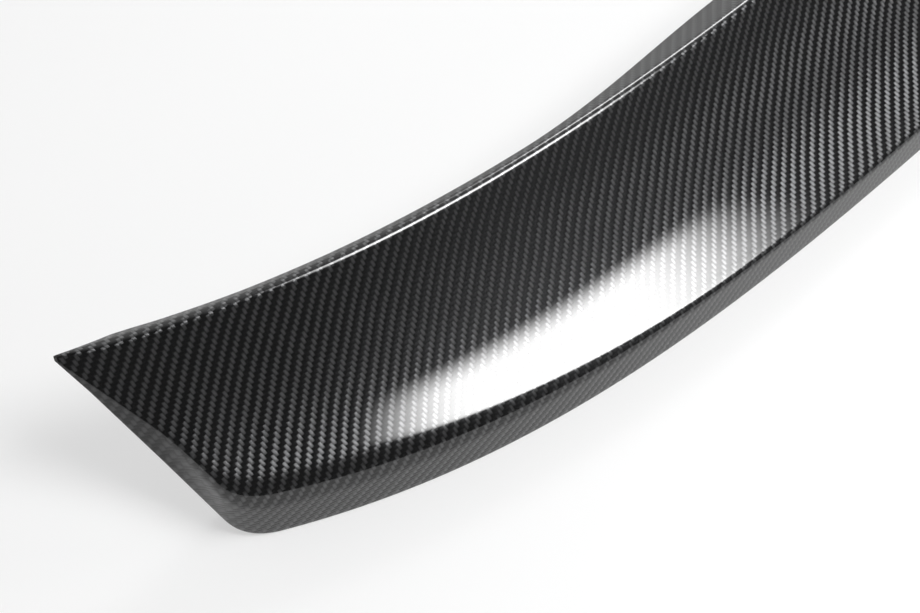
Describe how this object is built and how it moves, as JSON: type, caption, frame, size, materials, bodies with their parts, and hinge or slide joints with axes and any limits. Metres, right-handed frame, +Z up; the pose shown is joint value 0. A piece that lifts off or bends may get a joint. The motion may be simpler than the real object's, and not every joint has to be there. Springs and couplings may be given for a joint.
{
  "type": "car lip spoiler",
  "caption": "Moulded carbon-fibre lip spoiler: a long bowed shell with a hollow-curved face, a down-turned lower wall and swept tips, bonded to a car's body edge to guide air.",
  "frame": {"origin": "under the middle of the bounding box, on the floor that the lower edge stands on", "axes": "+X along the width, +Y from the lower front edge to the upper back edge, +Z up"},
  "size_m": [1.1236, 0.1868, 0.1012],
  "materials": {
    "carbon_laminate": "carbon-fibre twill under a glossy clear coat"
  },
  "bodies": {
    "root": {"spoiler_shell": "carbon_laminate"}
  },
  "joints": []
}
